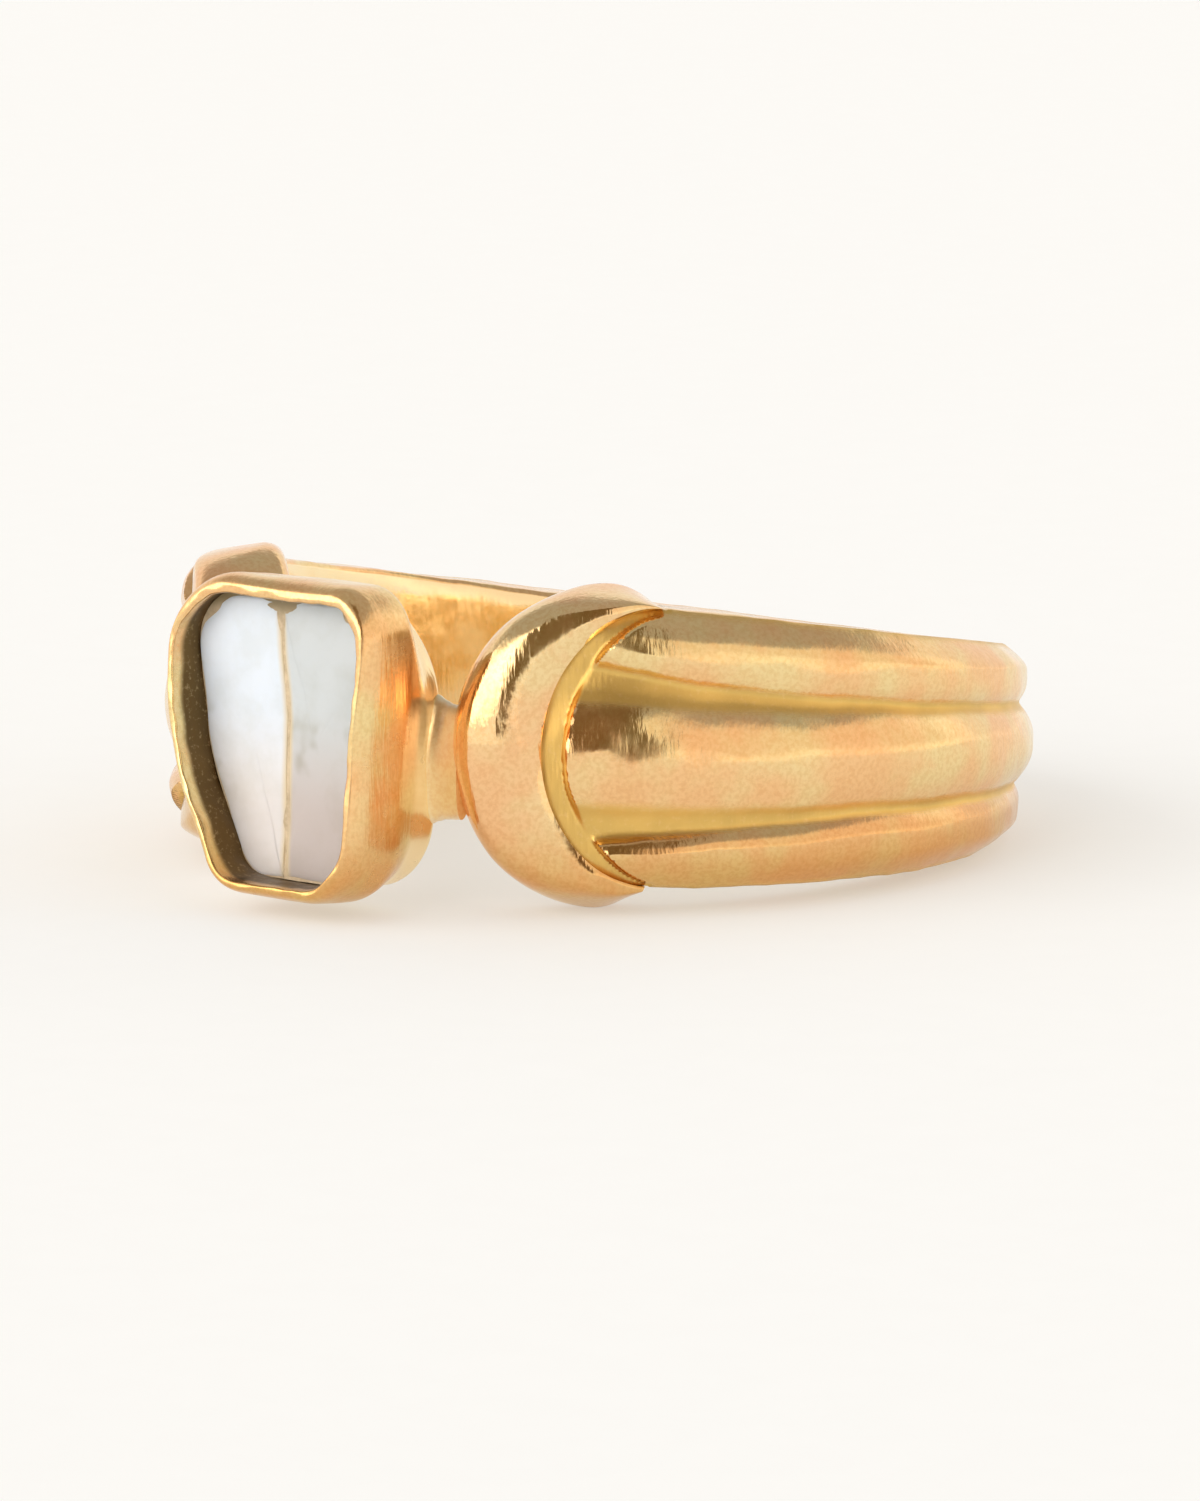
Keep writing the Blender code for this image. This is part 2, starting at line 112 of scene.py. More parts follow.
# The band's first section, and the close ones beside the collars, in degrees from the cup
BAND_START, BAND_FINE_END, BAND_FINE_STEP = 32.0, 49.0, 0.25

# Slabs and seam, in shares of the cup's half width and half height as (aside, along), and in millimetres
SEAM_TOP, SEAM_BOTTOM = (-0.08, 0.82), (0.04, -1.05)
SEAM_HALF = 0.04
SLAB_TILT = 0.15
CEMENT_FILL = 0.005
SLAB_EDGE_LOWERED, SLAB_EDGE_FROM, SLAB_EDGE_RUN = 0.12, 2.1, 0.8
CEMENT_BELOW_SLABS = 0.016
# A slab's rings from its back to its face as (share of the outline, depth under the face)
SLAB_STEPS = ((1.0, 0.5), (1.0, 0.04), (0.993, 0.015), (0.975, 0.003), (0.95, 0.0), (0.9, -0.01),
              (0.8, -0.02), (0.65, -0.03), (0.5, -0.035), (0.36, -0.04), (0.2, -0.04))

# The camera's place, in degrees round the ring and above it for a lean of 6 degrees, and its distance in
# metres; its lens in millimetres, and the lens shift that frames the ring as in the photograph
CAMERA_AZIMUTH, CAMERA_ELEVATION, CAMERA_LEAN = 40.0, 9.13, 6.0
CAMERA_DISTANCE, CAMERA_LENS = 0.2, 192.7
CAMERA_SHIFT_X, CAMERA_SHIFT_Y = 0.0003, -0.0258


class RingSizes(bpy.types.PropertyGroup):
    """The sizes of the ring."""

    bore_radius: bpy.props.FloatProperty(
        name="Bore Radius", description="Radius of the finger hole", default=0.0084,
        unit="LENGTH")
    band_thickness: bpy.props.FloatProperty(
        name="Band Thickness", description="From the bore to the top of the middle ridge", default=0.0024,
        unit="LENGTH")
    half_height_back: bpy.props.FloatProperty(
        name="Back Half Height", description="Half of the band's height at its back", default=0.00202,
        unit="LENGTH")
    half_height_head: bpy.props.FloatProperty(
        name="Head Half Height", description="Half of the band's height at the cup's side", default=0.00353,
        unit="LENGTH")
    cup_half_width: bpy.props.FloatProperty(
        name="Cup Half Width", description="Reference half width of the cup's outline", default=0.0033,
        unit="LENGTH")
    cup_half_height: bpy.props.FloatProperty(
        name="Cup Half Height", description="Reference half height of the cup's outline", default=0.0038,
        unit="LENGTH")
    cup_depth: bpy.props.FloatProperty(
        name="Cup Depth", description="From the cup's back to its rim", default=0.00313,
        unit="LENGTH")
    rim_width: bpy.props.FloatProperty(
        name="Rim Width", description="Width of the cup's rim", default=0.0004,
        unit="LENGTH")
    slab_recess: bpy.props.FloatProperty(
        name="Slab Recess", description="How deep the slabs' faces lie below the rim", default=0.00108,
        unit="LENGTH")


class RingColours(bpy.types.PropertyGroup):
    """The base colours of the ring's finishes and of the floor."""

    gold: bpy.props.FloatVectorProperty(
        name="Gold", description="Warm worn gold", subtype="COLOR", size=3, min=0, max=1,
        default=(0.93, 0.645, 0.355))
    gold_yellow: bpy.props.FloatVectorProperty(
        name="Yellow Gold", description="Yellower gold of the worn patches", subtype="COLOR", size=3,
        min=0, max=1, default=(0.88, 0.69, 0.31))
    solder: bpy.props.FloatVectorProperty(
        name="Solder", description="Pale yellow solder", subtype="COLOR", size=3, min=0, max=1,
        default=(0.97, 0.93, 0.74))
    enamel: bpy.props.FloatVectorProperty(
        name="Enamel", description="Bluish white slab", subtype="COLOR", size=3, min=0, max=1,
        default=(0.72, 0.8, 0.9))
    dentine: bpy.props.FloatVectorProperty(
        name="Dentine", description="Greyish pink slab", subtype="COLOR", size=3, min=0, max=1,
        default=(0.58, 0.63, 0.66))
    cement: bpy.props.FloatVectorProperty(
        name="Cement", description="Ochre setting cement", subtype="COLOR", size=3, min=0, max=1,
        default=(0.53, 0.43, 0.28))
    # The floor's own colour is dim and bluish; its painted glow in the stage makes it pale and warm
    floor: bpy.props.FloatVectorProperty(
        name="Floor", description="Pale warm floor", subtype="COLOR", size=3, min=0, max=1,
        default=(0.471, 0.523, 0.575))


def size(name):
    """One of the ring's sizes, in millimetres."""
    return getattr(bpy.context.scene.ring_sizes, name) / MM


def colours():
    """The ring's colours."""
    return bpy.context.scene.ring_colours


def place(ahead, aside, along):
    """A point of the ring on the floor, in metres."""
    return RING_POSE @ (Vector((aside, -ahead, along)) * MM)


def place_round(angle, radius, along):
    """A point at an angle in degrees round the bore from the cup, toward +X."""
    turn = math.radians(angle)
    return place(radius * math.cos(turn), radius * math.sin(turn), along)


def smooth_share(value):
    """A value from 0 to 1, eased at both ends."""
    value = min(max(value, 0.0), 1.0)
    return value * value * (3 - 2 * value)


def ellipse_height(offset, half_width, half_height):
    """Half of an ellipse's height at an offset from its centre."""
    return half_height * math.sqrt(max(1 - (offset / half_width) ** 2, 0.0))


def wrapped_grid(name, rings, sharp=38.0, recess=None):
    """A grid moved ring by ring into a closed skin; a ring that is one point closes an end.

    recess tells the materials, for each point, how low and enclosed it is: 1 in the hollows, 0 on the open
    gold and below 0 where the gold is pale.
    """
    bpy.ops.object.select_all(action="DESELECT")
    across = len(rings[0])
    bpy.ops.mesh.primitive_grid_add(x_subdivisions=across, y_subdivisions=len(rings) - 1, size=1)
    made = bpy.context.object
    made.name = name
    made.data.name = name
    flat = []
    for ring in rings:
        for point in list(ring) + [ring[0]]:
            flat.extend(point)
    made.location = (0, 0, 0)
    made.data.vertices.foreach_set("co", flat)
    if recess:
        marks = made.data.attributes.new("recess", "FLOAT", "POINT")
        marks.data.foreach_set("value", [mark for row in recess for mark in row + [row[0]]])
    while made.data.uv_layers:
        made.data.uv_layers.remove(made.data.uv_layers[0])
    bpy.ops.object.mode_set(mode="EDIT")
    bpy.ops.mesh.select_all(action="SELECT")
    bpy.ops.mesh.remove_doubles(threshold=1e-7)
    bpy.ops.mesh.normals_make_consistent(inside=False)
    bpy.ops.object.mode_set(mode="OBJECT")
    bpy.ops.object.shade_smooth_by_angle(angle=math.radians(sharp))
    return made


def centre_of(ring):
    """The mean of a ring's points."""
    return sum(ring[1:], ring[0].copy()) / len(ring)


def closed_ends(rings):
    """Add a one-point ring at each end."""
    return [[centre_of(rings[0])] * len(rings[0])] + rings + [[centre_of(rings[-1])] * len(rings[-1])]


def repeated_ends(rows):
    """Rows of marks to go with closed_ends."""
    return [rows[0]] + rows + [rows[-1]]


def worn(point, amount, scale):
    """Move a point by a soft unevenness, as of hand-finished metal."""
    x, y, z = point * (scale * 4.4 / MM)
    waves = (math.sin(1.1 * y + 0.6 * z + 0.4) + math.sin(0.7 * x - 0.9 * z + 2.1),
             math.sin(0.9 * x - 0.8 * z + 1.3) + math.sin(1.2 * z + 0.5 * y + 4.0),
             math.sin(0.8 * x + 1.0 * y + 2.7) + math.sin(1.1 * y - 0.6 * x + 0.9))
    return point + Vector(waves) * (0.35 * amount * MM)


def nicked(point, amount, scale):
    """Move a point by a sharper unevenness, as along a pushed-over edge; the noise is seeded before."""
    return point + noise.noise_vector(point * (scale / MM)) * amount * MM


def layout_radius():
    """The radius on which distances round the band are laid out."""
    return size("bore_radius") + 0.79 * size("band_thickness")


def collar_layout():
    """The centres of the crescents' two ellipses round the band, and the ellipses' half heights."""
    nose = size("cup_half_width") + COLLAR_FROM_CUP
    inner_nose = nose + CRESCENT_WIDTH
    head = size("half_height_head")
    return {"outer_centre": nose + COLLAR_FRONT_HALF, "inner_centre": inner_nose + CREASE_HALF,
            "upper": head + 0.23, "lower": head + 0.47, "inner": head - 0.23}


def covered_half_height(angle, layout):
    """How far the band reaches along the bore at an angle, where a collar covers its end."""
    round_band = math.radians(min(angle, 360 - angle)) * layout_radius()
    if round_band >= layout["inner_centre"]:
        return size("half_height_head")
    from_outer = layout["outer_centre"] - round_band
    outer = ellipse_height(from_outer, COLLAR_FRONT_HALF if from_outer > 0 else COLLAR_BACK_HALF,
                           layout["upper"])
    inner = ellipse_height(layout["inner_centre"] - round_band, CREASE_HALF, layout["inner"])
    return inner + 0.1 * (outer - inner)


def ridge_fade(angle, along, layout):
    """0 on the flat strip beside a collar and 1 where the ridges have risen."""
    inner = layout["inner_centre"] - ellipse_height(along, layout["inner"], CREASE_HALF)
    edge = math.degrees(inner / layout_radius())
    return smooth_share((min(angle, 360 - angle) - edge - RIDGE_START) / RIDGE_RISE)


def arch(share):
    """A round-shouldered arch: 1 at share 0 and 0 at its feet, share -1 and 1."""
    return (1 - min(abs(share), 1.0) ** 2) ** 0.85


def groove_depth(share):
    """How deep the grooves lie under the middle ridge; share is 1 at the cup and 0 at the band's back."""
    return 0.42 + 0.2 * share


def band_shape(angle):
    """The ridges' measures at an angle: full half height, middle ridge, groove, the middle ridge's shift."""
    share = min(max((math.cos(math.radians(angle)) + 1) / 2, 0.0), 1.0)
    back, head = size("half_height_back"), size("half_height_head")
    full = back + (head - back) * share ** 0.85
    turned = min(angle, 360 - angle)
    to_back = min(max((turned - GROOVE_START) / GROOVE_RUN, 0.0), 1.0)
    return {"share": share, "full": full, "middle": MIDDLE_RIDGE_SHARE * full,
            "groove": GROOVE_AT_BACK + GROOVE_SPREAD * (1 - to_back) ** GROOVE_POWER,
            "shift": MIDDLE_RIDGE_SHIFT * (1 - smooth_share(to_back * 1.6))}


def ridge_height(along, shape):
    """How high the ridges stand over the grooves: the height, and the share of it that is ridge."""
    depth = groove_depth(shape["share"])
    from_middle = abs(along - shape["shift"])
    middle = arch(from_middle / shape["middle"])
    cove = COVE_HEIGHT * min(shape["groove"] / 0.6, 1.0)
    tail = cove * math.exp(-max(from_middle - shape["middle"], 0.0) / COVE_RUN)
    foot = shape["full"] - shape["middle"] - shape["groove"] + math.copysign(shape["shift"], along)
    across = (abs(along) - shape["full"] + foot) / foot
    side = arch((across - SIDE_CREST) / (SIDE_CREST if across < SIDE_CREST else 0.7))
    return tail + (depth - cove) * middle + (depth - COVE_HEIGHT - tail) * side, max(middle, side)


def band_section(angle, layout):
    """The band's outline as (radius, along, recess): up the bore, marked -1, then down over the ridges."""
    bore = size("bore_radius")
    outside = bore + size("band_thickness")
    shape = band_shape(angle)
    full = shape["full"]
    half = min(full, covered_half_height(angle, layout))
    depth = groove_depth(shape["share"])
    outline = []
    for step in range(13):
        along = (half - BORE_ROUNDING) * (2 * step / 12 - 1)
        outline.append((bore - BORE_SWELL * (1 - (along / half) ** 2), along, -1.0))
    for step in range(1, 5):
        turn = math.pi / 2 * step / 4
        outline.append((bore + BORE_ROUNDING * (1 - math.cos(turn)),
                        half - BORE_ROUNDING + BORE_ROUNDING * math.sin(turn), 0.0))
    outline.append((bore + 0.8, half, 0.0))
    upper = []
    for step in range(SKIN_STEPS + 1):
        along = full * (1 - 2 * step / SKIN_STEPS)
        fade = ridge_fade(angle, along, layout)
        heights = [ridge_height(along + offset, shape) for offset in (-0.07, -0.035, 0.0, 0.035, 0.07)]
        height = sum(pair[0] for pair in heights) / 5
        ridge = sum(pair[1] for pair in heights) / 5
        edge = max((abs(along) / full - EDGE_START) / (1 - EDGE_START), 0.0)
        drop = (EDGE_DROP - depth) * smooth_share(edge)
        radius = outside - depth + height * fade - drop - EDGE_ROLL * edge ** 4
        upper.append((radius, max(-half, min(along, half)), 1 - min(ridge * 1.6, 1.0) * fade))
    foot = [(radius, -along, mark) for radius, along, mark in reversed(outline[13:])]
    return outline + upper + foot


def band_angles():
    """The angles of the band's sections: close together beside the collars, then even round the back."""
    steps = round((BAND_FINE_END - BAND_START) / BAND_FINE_STEP)
    near = [BAND_START + BAND_FINE_STEP * step for step in range(steps)]
    back = [BAND_FINE_END + (360 - 2 * BAND_FINE_END) * step / 150 for step in range(151)]
    return near + back + [360 - angle for angle in reversed(near)]


def collar_ring(turn_share, side, layout):
    """One section of a crescent: a full brow toward the cup, falling gently to the crease by the ridges.

    turn_share runs from -1 at the crescent's lower tip to 1 at its upper tip. The section is a row of places
    round and along the band, each with its lift above the bore.
    """
    outer_turn = math.radians(COLLAR_TURN * turn_share)
    inner_turn = math.radians(CREASE_TURN * turn_share)
    outer_half = COLLAR_FRONT_HALF if math.cos(outer_turn) > 0 else COLLAR_BACK_HALF
    height = layout["upper"] if outer_turn > 0 else layout["lower"]
    outer = Vector((layout["outer_centre"] - outer_half * math.cos(outer_turn),
                    height * math.sin(outer_turn)))
    inner = Vector((layout["inner_centre"] - CREASE_HALF * math.cos(inner_turn),
                    layout["inner"] * math.sin(inner_turn)))
    lean_in = math.sin(math.radians(COLLAR_TURN) * abs(turn_share)) ** 2
    lip = 0.12 - 0.34 * lean_in
    thin = smooth_share((abs(turn_share) - 0.38) / 0.42)
    outer_lift = max(BROW_LIFT - 1.1 * thin, lip + 0.5)
    tip = smooth_share((abs(turn_share) - 0.7) / 0.3)
    inner_lift = CREASE_LIFT - 0.02 * inner.y ** 2 - TIP_DROP * tip
    crest = 0.37 + 0.3 * thin
    flat = smooth_share(-turn_share / 0.5)
    drop = COLLAR_BOW * ((inner - outer).length * (1 - crest)) ** 2 * (1 - 0.85 * flat)
    roll = COLLAR_ROLL * (1 - 0.8 * flat)
    peak = inner_lift + drop + roll
    peak = peak - LEFT_SHOULDER_DROP * smooth_share((turn_share - 0.6) / 0.3) * (side < 0)
    rounding = min(COLLAR_LIP / (inner - outer).length, 0.45)
    profile = []
    for step in range(7):
        turn = math.pi / 2 * step / 6
        spot = outer.lerp(inner, rounding * (1 - math.sin(turn)))
        profile.append((spot, lip + COLLAR_LIP * (1 - math.cos(turn))))
    for step in range(COLLAR_ARC_STEPS + 1):
        turn = math.pi / 2 * step / COLLAR_ARC_STEPS
        spot = outer.lerp(inner, crest * (1 - math.cos(turn)) ** (1 - 0.5 * thin))
        profile.append((spot, outer_lift + (peak - outer_lift) * math.sin(turn)))
    for step in range(1, COLLAR_ARC_STEPS + 1):
        share = step / COLLAR_ARC_STEPS
        spot = outer.lerp(inner, crest + (1 - crest) * share)
        profile.append((spot, peak - drop * share ** 2 - roll * share ** 5))
    profile.append((inner, 0.8))
    profile.append((inner, 0.12))
    bore = size("bore_radius")
    around = layout_radius()
    return [place_round(side * math.degrees(spot.x / around), bore + lift, spot.y) for spot, lift in profile]


def rounded_outline(corners, inset=0.0):
    """Points round an outline of straight sides and round corners, moved in by inset."""
    width, height = size("cup_half_width"), size("cup_half_height")
    spots = [Vector((aside * width, along * height)) for aside, along, _ in corners]
    arcs = []
    for index, corner in enumerate(spots):
        radius = corners[index][2] * width
        before = (spots[index - 1] - corner).normalized()
        after = (spots[(index + 1) % len(spots)] - corner).normalized()
        half_angle = before.angle(after) / 2
        centre = corner + (before + after).normalized() * radius / math.sin(half_angle)
        start = math.atan2(before.x, -before.y)
        sweep = math.pi - 2 * half_angle
        arcs.append([centre + Vector((math.cos(start + sweep * step / CORNER_STEPS),
                                      math.sin(start + sweep * step / CORNER_STEPS))) * (radius - inset)
                     for step in range(CORNER_STEPS + 1)])
    outline = []
    for index, arc in enumerate(arcs):
        outline.extend(arc)
        following = arcs[(index + 1) % len(arcs)][0]
        outline.extend(arc[-1].lerp(following, step / SIDE_STEPS) for step in range(1, SIDE_STEPS))
    return outline


def blend(first, second, share):
    """An outline between two others."""
    return [a.lerp(b, share) for a, b in zip(first, second)]


def cup_levels():
    """The cup's named levels ahead of the bore's axis."""
    back = size("bore_radius") + CUP_FROM_BORE
    rim = back + size("cup_depth")
    return {"back": back, "floor": back + CUP_FLOOR, "crease": back + CUP_CREASE_SHARE * size("cup_depth"),
            "rim": rim, "face": rim - size("slab_recess")}


def hollow_outline(ahead, inset=0.0):
    """The outline of the cup's hollow at a depth."""
    levels = cup_levels()
    share = min((ahead - levels["floor"]) / (levels["crease"] - levels["floor"]), 1.0)
    floor = rounded_outline(CUP_BACK, 0.45 + inset)
    return blend(floor, rounded_outline(CUP_FRONT, size("rim_width") + inset), share)


def at_depth(outline, ahead):
    """An outline of (aside, along) as a ring of points at a distance ahead."""
    return [place(ahead, spot.x, spot.y) for spot in outline]


def new_material(name):
    """A new material with its node tree and shader node."""
    material = bpy.data.materials.new(name)
    material.use_nodes = True
    tree = material.node_tree
    return material, tree, tree.nodes["Principled BSDF"]


def add_node(tree, kind, **values):
    """A node with its properties or input values set by name; a space in an input's name is written as _."""
    node = tree.nodes.new(kind)
    for key, value in values.items():
        if hasattr(node, key):
            setattr(node, key, value)
        else:
            node.inputs[key.replace("_", " ")].default_value = value
    return node


def mixed(tree, share, first, second, blend_type="MIX"):
    """A mix of two colours, each a socket or a tuple; the share is a socket."""
    mix = add_node(tree, "ShaderNodeMix", data_type="RGBA", blend_type=blend_type)
    sockets = {socket.identifier: socket for socket in mix.inputs}
    for key, value in (("Factor_Float", share), ("A_Color", first), ("B_Color", second)):
        if isinstance(value, tuple):
            sockets[key].default_value = (*value, 1)
        else:
            tree.links.new(value, sockets[key])
    return next(socket for socket in mix.outputs if socket.identifier == "Result_Color")


def ranged(tree, value, low, high, to_low=0.0, to_high=1.0):
    """A value mapped smoothly from low and high to two others."""
    node = add_node(tree, "ShaderNodeMapRange", interpolation_type="SMOOTHSTEP")
    for key, number in (("From Min", low), ("From Max", high), ("To Min", to_low), ("To Max", to_high)):
        node.inputs[key].default_value = number
    tree.links.new(value, node.inputs["Value"])
    return node.outputs["Result"]


def worked(tree, operation, first, second):
    """The outcome of a sum on two sockets or numbers."""
    node = add_node(tree, "ShaderNodeMath", operation=operation)
    for socket, value in zip(node.inputs, (first, second)):
        if isinstance(value, (int, float)):
            socket.default_value = value
        else:
            tree.links.new(value, socket)
    return node.outputs["Value"]


def noise_at(tree, vector, scale, detail=3.0, roughness=0.55):
    """A noise value from 0 to 1 at a place."""
    texture = add_node(tree, "ShaderNodeTexNoise", Scale=scale, Detail=detail, Roughness=roughness)
    tree.links.new(vector, texture.inputs["Vector"])
    return texture.outputs["Fac"]


def between(first, second, share):
    """A colour between two others."""
    return tuple(a + (b - a) * share for a, b in zip(first, second))


def gold_finish(name, plain, roughness, brushed, low_colour=(0.74, 0.47, 0.11), low_roughness=0.27):
    """Worn gold: warm and yellow patches, fine streaks, a darker colour in the low and enclosed places that
    is partly a real finish and partly painted shade, and painted shade toward the floor.

    The recess attribute is 1 in the low places and below 0 where the gold is pale, as in the bore.
    """
    material, tree, shader = new_material(name)
    link = tree.links.new
    spot = add_node(tree, "ShaderNodeTexCoord").outputs["Object"]
    low = add_node(tree, "ShaderNodeAttribute", attribute_name="recess").outputs["Fac"]
    patches = noise_at(tree, spot, 380.0)
    clouds = noise_at(tree, spot, 1100.0, 4.0, 0.6)
    fine = noise_at(tree, spot, 9000.0, 3.0, 0.6)
    rosy = (plain[0], plain[1] * 0.87, plain[2] * 0.80)
    straw = (plain[0] * 0.97, plain[1] * 1.06, plain[2])
    tint = mixed(tree, ranged(tree, patches, 0.38, 0.64), rosy, straw)
    tint = mixed(tree, ranged(tree, fine, 0.35, 0.62, 0.42, 0.0), tint, (0.86, 0.72, 0.55), "MULTIPLY")
    tarnished = (plain[0] * 0.96, plain[1] * 0.8, plain[2] * 0.72)
    tint = mixed(tree, ranged(tree, clouds, 0.52, 0.75, 0.0, 0.35), tint, tarnished)
    # Toward the floor the gold is painted darker and warmer: painted shade and a painted reflection of the
    # floor
    split = add_node(tree, "ShaderNodeSeparateXYZ")
    link(spot, split.inputs["Vector"])
    near_floor_painted_shade = ranged(tree, split.outputs["Z"], 0.0026, 0.0008)
    tint = mixed(tree, near_floor_painted_shade, tint, (0.84, 0.72, 0.54), "MULTIPLY")
    # The low places take a colour of their own, darker than the open gold: partly a real finish and grime,
    # partly painted shade
    low_dark = tuple(part * 0.86 for part in low_colour)
    low_finish_and_shade = mixed(tree, ranged(tree, patches, 0.4, 0.62), low_colour, low_dark)
    low_finish_and_shade = mixed(tree, ranged(tree, fine, 0.55, 0.7, 0.0, 0.2), low_finish_and_shade, tuple(plain))
    low_finish_and_shade_share = ranged(tree, low, 0.25, 0.95)
    tint = mixed(tree, ranged(tree, low, -0.2, -0.8), tint, (0.99, 0.79, 0.47))
    link(mixed(tree, low_finish_and_shade_share, tint, low_finish_and_shade), shader.inputs["Base Color"])
    shader.inputs["Metallic"].default_value = 1.0
    wander = ranged(tree, clouds, 0.35, 0.7, roughness, roughness + brushed)
    rough = add_node(tree, "ShaderNodeMix", data_type="FLOAT")
    link(low_finish_and_shade_share, rough.inputs[0])
    link(wander, rough.inputs[2])
    rough.inputs[3].default_value = low_roughness
    link(rough.outputs[0], shader.inputs["Roughness"])
    # Fine streaks across the band, small pits, and dents
    stretch = add_node(tree, "ShaderNodeMapping")
    stretch.inputs["Scale"].default_value = (1.0, 1.0, 0.12)
    link(spot, stretch.inputs["Vector"])
    streaks = noise_at(tree, stretch.outputs["Vector"], 9000.0, 2.0, 0.5)
    brush = add_node(tree, "ShaderNodeBump", Strength=0.7, Distance=0.00001)
    link(streaks, brush.inputs["Height"])
    pits = add_node(tree, "ShaderNodeBump", Strength=0.15, Distance=0.000018)
    link(noise_at(tree, spot, 3200.0, 2.0, 0.5), pits.inputs["Height"])
    link(brush.outputs["Normal"], pits.inputs["Normal"])
    dents = add_node(tree, "ShaderNodeBump", Strength=0.25, Distance=0.00005)
    link(noise_at(tree, spot, 420.0, 0.0), dents.inputs["Height"])
    link(pits.outputs["Normal"], dents.inputs["Normal"])
    link(dents.outputs["Normal"], shader.inputs["Normal"])
    return material


def tooth_finish(name, colour, low_colour, seam_side):
    """Tooth: softly glossy, a little translucent, warmer low down, stained in patches and along the seam."""
    material, tree, shader = new_material(name)
    link = tree.links.new
    spot = add_node(tree, "ShaderNodeTexCoord").outputs["Object"]
    split = add_node(tree, "ShaderNodeSeparateXYZ")
    link(spot, split.inputs["Vector"])
    height = split.outputs["Z"]
    clouds = noise_at(tree, spot, 900.0, 4.0, 0.6)
    smears = noise_at(tree, spot, 480.0, 3.0, 0.65)
    base = mixed(tree, ranged(tree, height, 0.0022, 0.0052), tuple(low_colour), tuple(colour))
    base = mixed(tree, ranged(tree, clouds, 0.32, 0.62, 0.5, 0.0), base, (0.86, 0.85, 0.80), "MULTIPLY")
    middle = ranged(tree, height, 0.0022, 0.0034)
    stained = worked(tree, "MULTIPLY", ranged(tree, smears, 0.52, 0.66, 0.0, 0.6),
                     ranged(tree, height, 0.0052, 0.0040))
    base = mixed(tree, worked(tree, "MULTIPLY", stained, middle), base, (0.56, 0.53, 0.40), "MULTIPLY")
    point, run = seam_line(0.0)
    normal = RING_POSE.to_3x3() @ Vector((-run.y, 0.0, run.x))
    start = place(0.0, point.x, point.y)
    away = add_node(tree, "ShaderNodeVectorMath", operation="DOT_PRODUCT")
    away.inputs[1].default_value = normal * seam_side
    link(spot, away.inputs[0])
    offset = start.dot(normal) * seam_side
    near = ranged(tree, away.outputs["Value"], offset + 0.00003, offset + 0.00022, 0.85, 0.0)
    base = mixed(tree, near, base, (0.74, 0.60, 0.36))
    link(base, shader.inputs["Base Color"])
    shader.inputs["Roughness"].default_value = 0.3
    shader.inputs["Subsurface Weight"].default_value = 0.35
    shader.inputs["Subsurface Scale"].default_value = 0.0004
    shader.inputs["Subsurface Radius"].default_value = (1.0, 0.9, 0.8)
    bump = add_node(tree, "ShaderNodeBump", Strength=0.25, Distance=0.00004)
    link(clouds, bump.inputs["Height"])
    link(bump.outputs["Normal"], shader.inputs["Normal"])
    return material


def cement_finish():
    """Cement: gritty ochre, darkened along the slabs' upper edge by grime and painted shade."""
    material, tree, shader = new_material("ochre_cement")
    link = tree.links.new
    spot = add_node(tree, "ShaderNodeTexCoord").outputs["Object"]
    grit = noise_at(tree, spot, 3000.0, 5.0, 0.7)
    tint = add_node(tree, "ShaderNodeValToRGB")
    ochre = colours().cement
    tint.color_ramp.elements[0].position = 0.35
    tint.color_ramp.elements[0].color = (ochre[0] * 0.8, ochre[1] * 0.76, ochre[2] * 0.72, 1)
    tint.color_ramp.elements[1].position = 0.65
    tint.color_ramp.elements[1].color = (ochre[0] * 1.25, ochre[1] * 1.25, ochre[2] * 1.3, 1)
    link(grit, tint.inputs["Fac"])
    # Dark along the slabs' upper edge, in the gap under the rim: grime and painted shade
    split = add_node(tree, "ShaderNodeSeparateXYZ")
    link(spot, split.inputs["Vector"])
    grime_and_painted_shade = ranged(tree, split.outputs["Z"], 0.0069, 0.0074)
    link(mixed(tree, grime_and_painted_shade, tint.outputs["Color"], (0.26, 0.2, 0.1)), shader.inputs["Base Color"])
    shader.inputs["Roughness"].default_value = 0.45
    return material


def finish_piece(piece, material, slot, *nodes):
    """Give a piece its material, hang it under the root body, and hide the nodes of the solid model it stands
    for.
    """
    piece.data.materials.clear()
    piece.data.materials.append(material)
    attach(piece, "root")
    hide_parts(*nodes)


class RING_OT_band(bpy.types.Operator):
    """Model the tapering band with its three ridges"""

    bl_idname = "milk_tooth_ring.band"
    bl_label = "Ridged Band"

    def execute(self, context):
        layout = collar_layout()
        rings, recess = [], []
        for angle in band_angles():
            section = band_section(angle, layout)
            rings.append([worn(worn(place_round(angle, radius, along), 0.035, 0.35), 0.015, 1.3)
                          for radius, along, _ in section])
            recess.append([mark for _, _, mark in section])
        band = wrapped_grid("ridged_band", closed_ends(rings), 38.0, repeated_ends(recess))
        colour = between(colours().gold, colours().gold_yellow, 0.2)
        # The grooves take a yellower satin finish, darker than the ridges: partly real, partly painted shade
        material = gold_finish("worn_gold", colour, 0.13, 0.12, (0.82, 0.54, 0.16), 0.4)
        finish_piece(band, material, "gold", "gold_ring")
        return {"FINISHED"}


class RING_OT_collars(bpy.types.Operator):
    """Model the two crescent collars over the band's ends"""

    bl_idname = "milk_tooth_ring.collars"
    bl_label = "Crescent Collars"

    def execute(self, context):
        layout = collar_layout()
        material = gold_finish("polished_gold", tuple(colours().gold), 0.06, 0.09)
        for name, side in (("collar_right", 1), ("collar_left", -1)):
            rings = []
            for step in range(141):
                ring = collar_ring(2 * step / 140 - 1, side, layout)
                rings.append([worn(point, 0.014, 0.4) for point in ring])
            finish_piece(wrapped_grid(name, closed_ends(rings)), material, "gold", "gold_ring")
        return {"FINISHED"}


